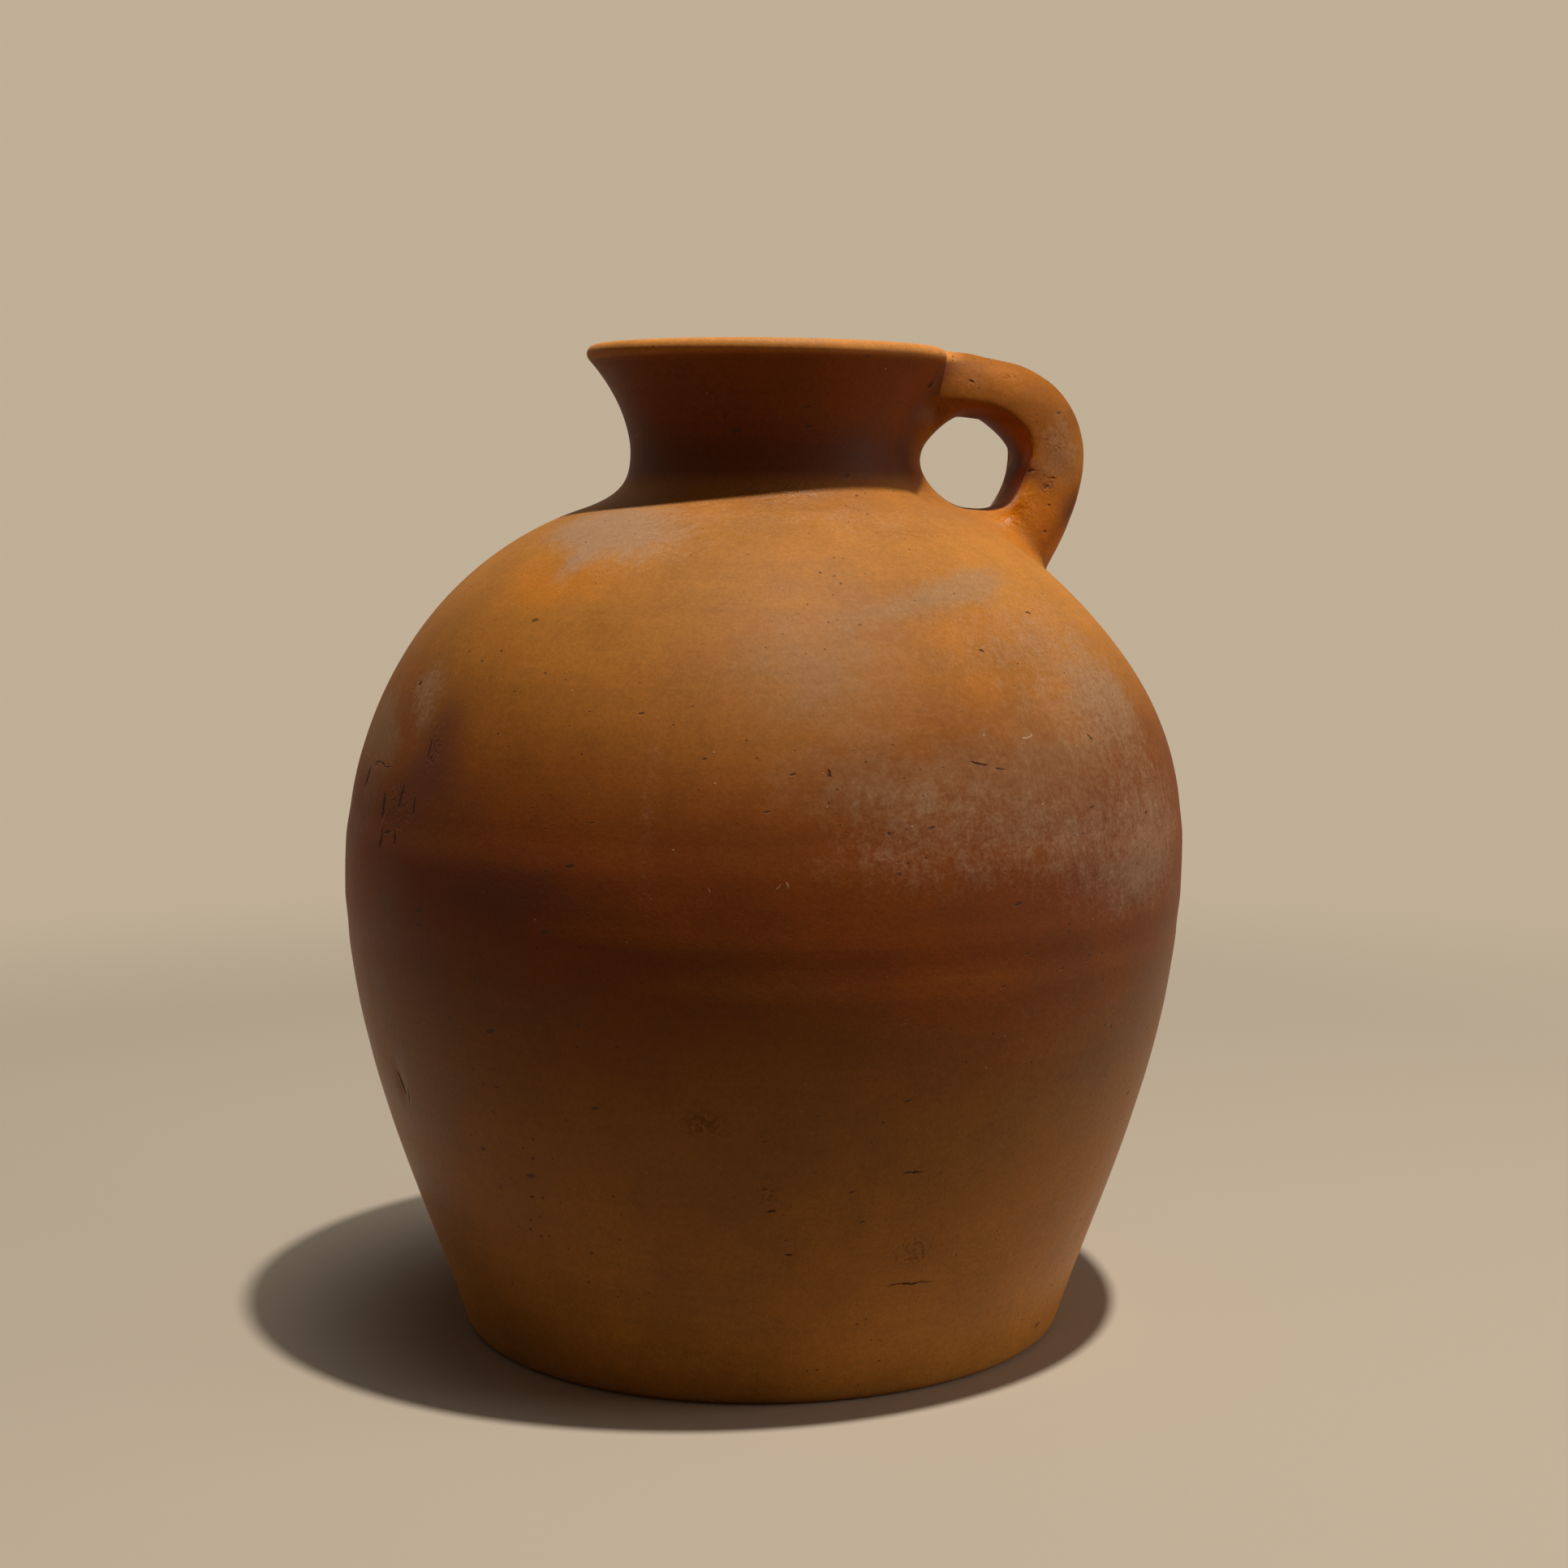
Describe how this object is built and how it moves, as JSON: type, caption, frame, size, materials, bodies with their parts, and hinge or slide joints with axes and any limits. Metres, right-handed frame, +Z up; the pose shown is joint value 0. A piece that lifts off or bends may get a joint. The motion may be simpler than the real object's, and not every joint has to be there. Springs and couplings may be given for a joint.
{
  "type": "water jug",
  "caption": "Round-bellied unglazed terracotta water jug with a flat foot, a short flared neck with a rolled lip and a thick loop handle from lip to shoulder.",
  "frame": {"origin": "centre of the foot, on the surface that the jug stands on", "axes": "+Z up along the axis of the jug, +X towards the handle"},
  "size_m": [0.3006, 0.3006, 0.3499],
  "materials": {
    "floor_clay": "unglazed terracotta, worn on the foot edge",
    "floor_seam_clay": "unglazed terracotta, smoothed by finger",
    "lower_wall_clay": "unglazed terracotta, slightly burnished",
    "belly_seam_clay": "unglazed terracotta, slightly burnished",
    "shoulder_clay": "unglazed terracotta with pale bloom, slightly burnished",
    "neck_seam_clay": "unglazed terracotta, slightly burnished",
    "neck_clay": "unglazed terracotta, slightly burnished",
    "neck_wad_clay": "unglazed terracotta, smeared by finger",
    "shoulder_wad_clay": "unglazed terracotta, smeared by finger",
    "handle_clay": "unglazed terracotta with darker flecks, polished by use"
  },
  "bodies": {
    "root": {"floor_disc": "floor_clay", "floor_seam_coil": "floor_seam_clay", "lower_wall": "lower_wall_clay", "belly_seam_coil": "belly_seam_clay", "shoulder_wall": "shoulder_clay", "neck_seam_coil": "neck_seam_clay", "neck_collar": "neck_clay", "handle_neck_wad": "neck_wad_clay", "handle_shoulder_wad": "shoulder_wad_clay", "handle": "handle_clay"}
  },
  "joints": []
}
